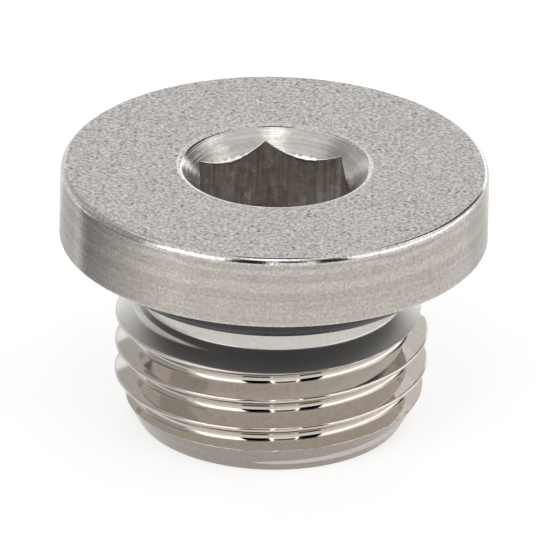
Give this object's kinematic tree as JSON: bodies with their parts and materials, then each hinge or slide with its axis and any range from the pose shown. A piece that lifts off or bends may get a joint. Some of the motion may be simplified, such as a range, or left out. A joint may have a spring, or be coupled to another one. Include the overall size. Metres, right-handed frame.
{
  "type": "threaded blanking plug",
  "caption": "Threaded blanking plug with a round flange head, hexagon key socket, parallel pipe thread and rubber sealing ring, to close an air or fluid port.",
  "frame": {"origin": "centre of the flat tip of the thread, on which the plug stands", "axes": "+Z along the plug's axis from the tip to the flange; +X towards the start of the thread"},
  "size_m": [0.018, 0.018, 0.0115],
  "materials": {
    "plated_body": "nickel plated brass: fine matt on the head, bright on the thread",
    "seal_rubber": "smooth moulded black rubber"
  },
  "bodies": {
    "root": {"plug_body": "plated_body", "sealing_ring": "seal_rubber"}
  },
  "joints": []
}
